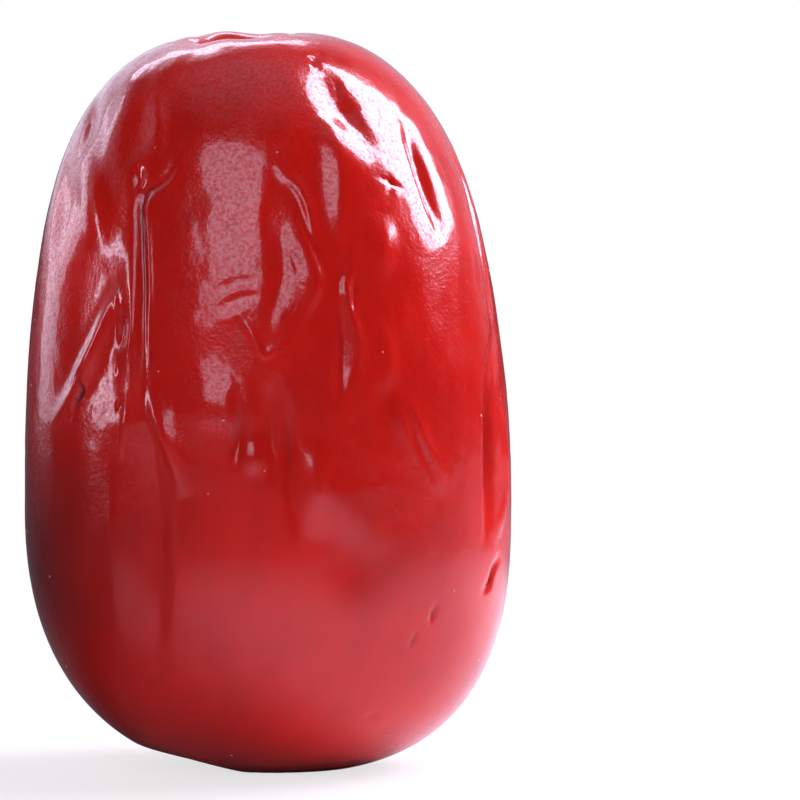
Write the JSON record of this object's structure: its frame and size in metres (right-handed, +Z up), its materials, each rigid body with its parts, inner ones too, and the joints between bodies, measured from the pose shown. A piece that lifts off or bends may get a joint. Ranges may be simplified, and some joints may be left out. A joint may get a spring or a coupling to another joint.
{
  "type": "dried jujube",
  "caption": "Dried jujube: a plump oblong fruit with glossy folded skin and a sunken stem cavity, standing on the small flat spot of its base.",
  "frame": {"origin": "middle of the fruit's box on the plan, at the flat spot it rests on", "axes": "+Z up along the fruit's length to the stem cavity, -Y out of the side that the picture shows, +X to the right as seen in the picture"},
  "size_m": [0.0328, 0.0315, 0.0495],
  "materials": {
    "skin": "glossy",
    "cork": "matte"
  },
  "bodies": {
    "root": {"fruit": "skin"}
  },
  "joints": []
}
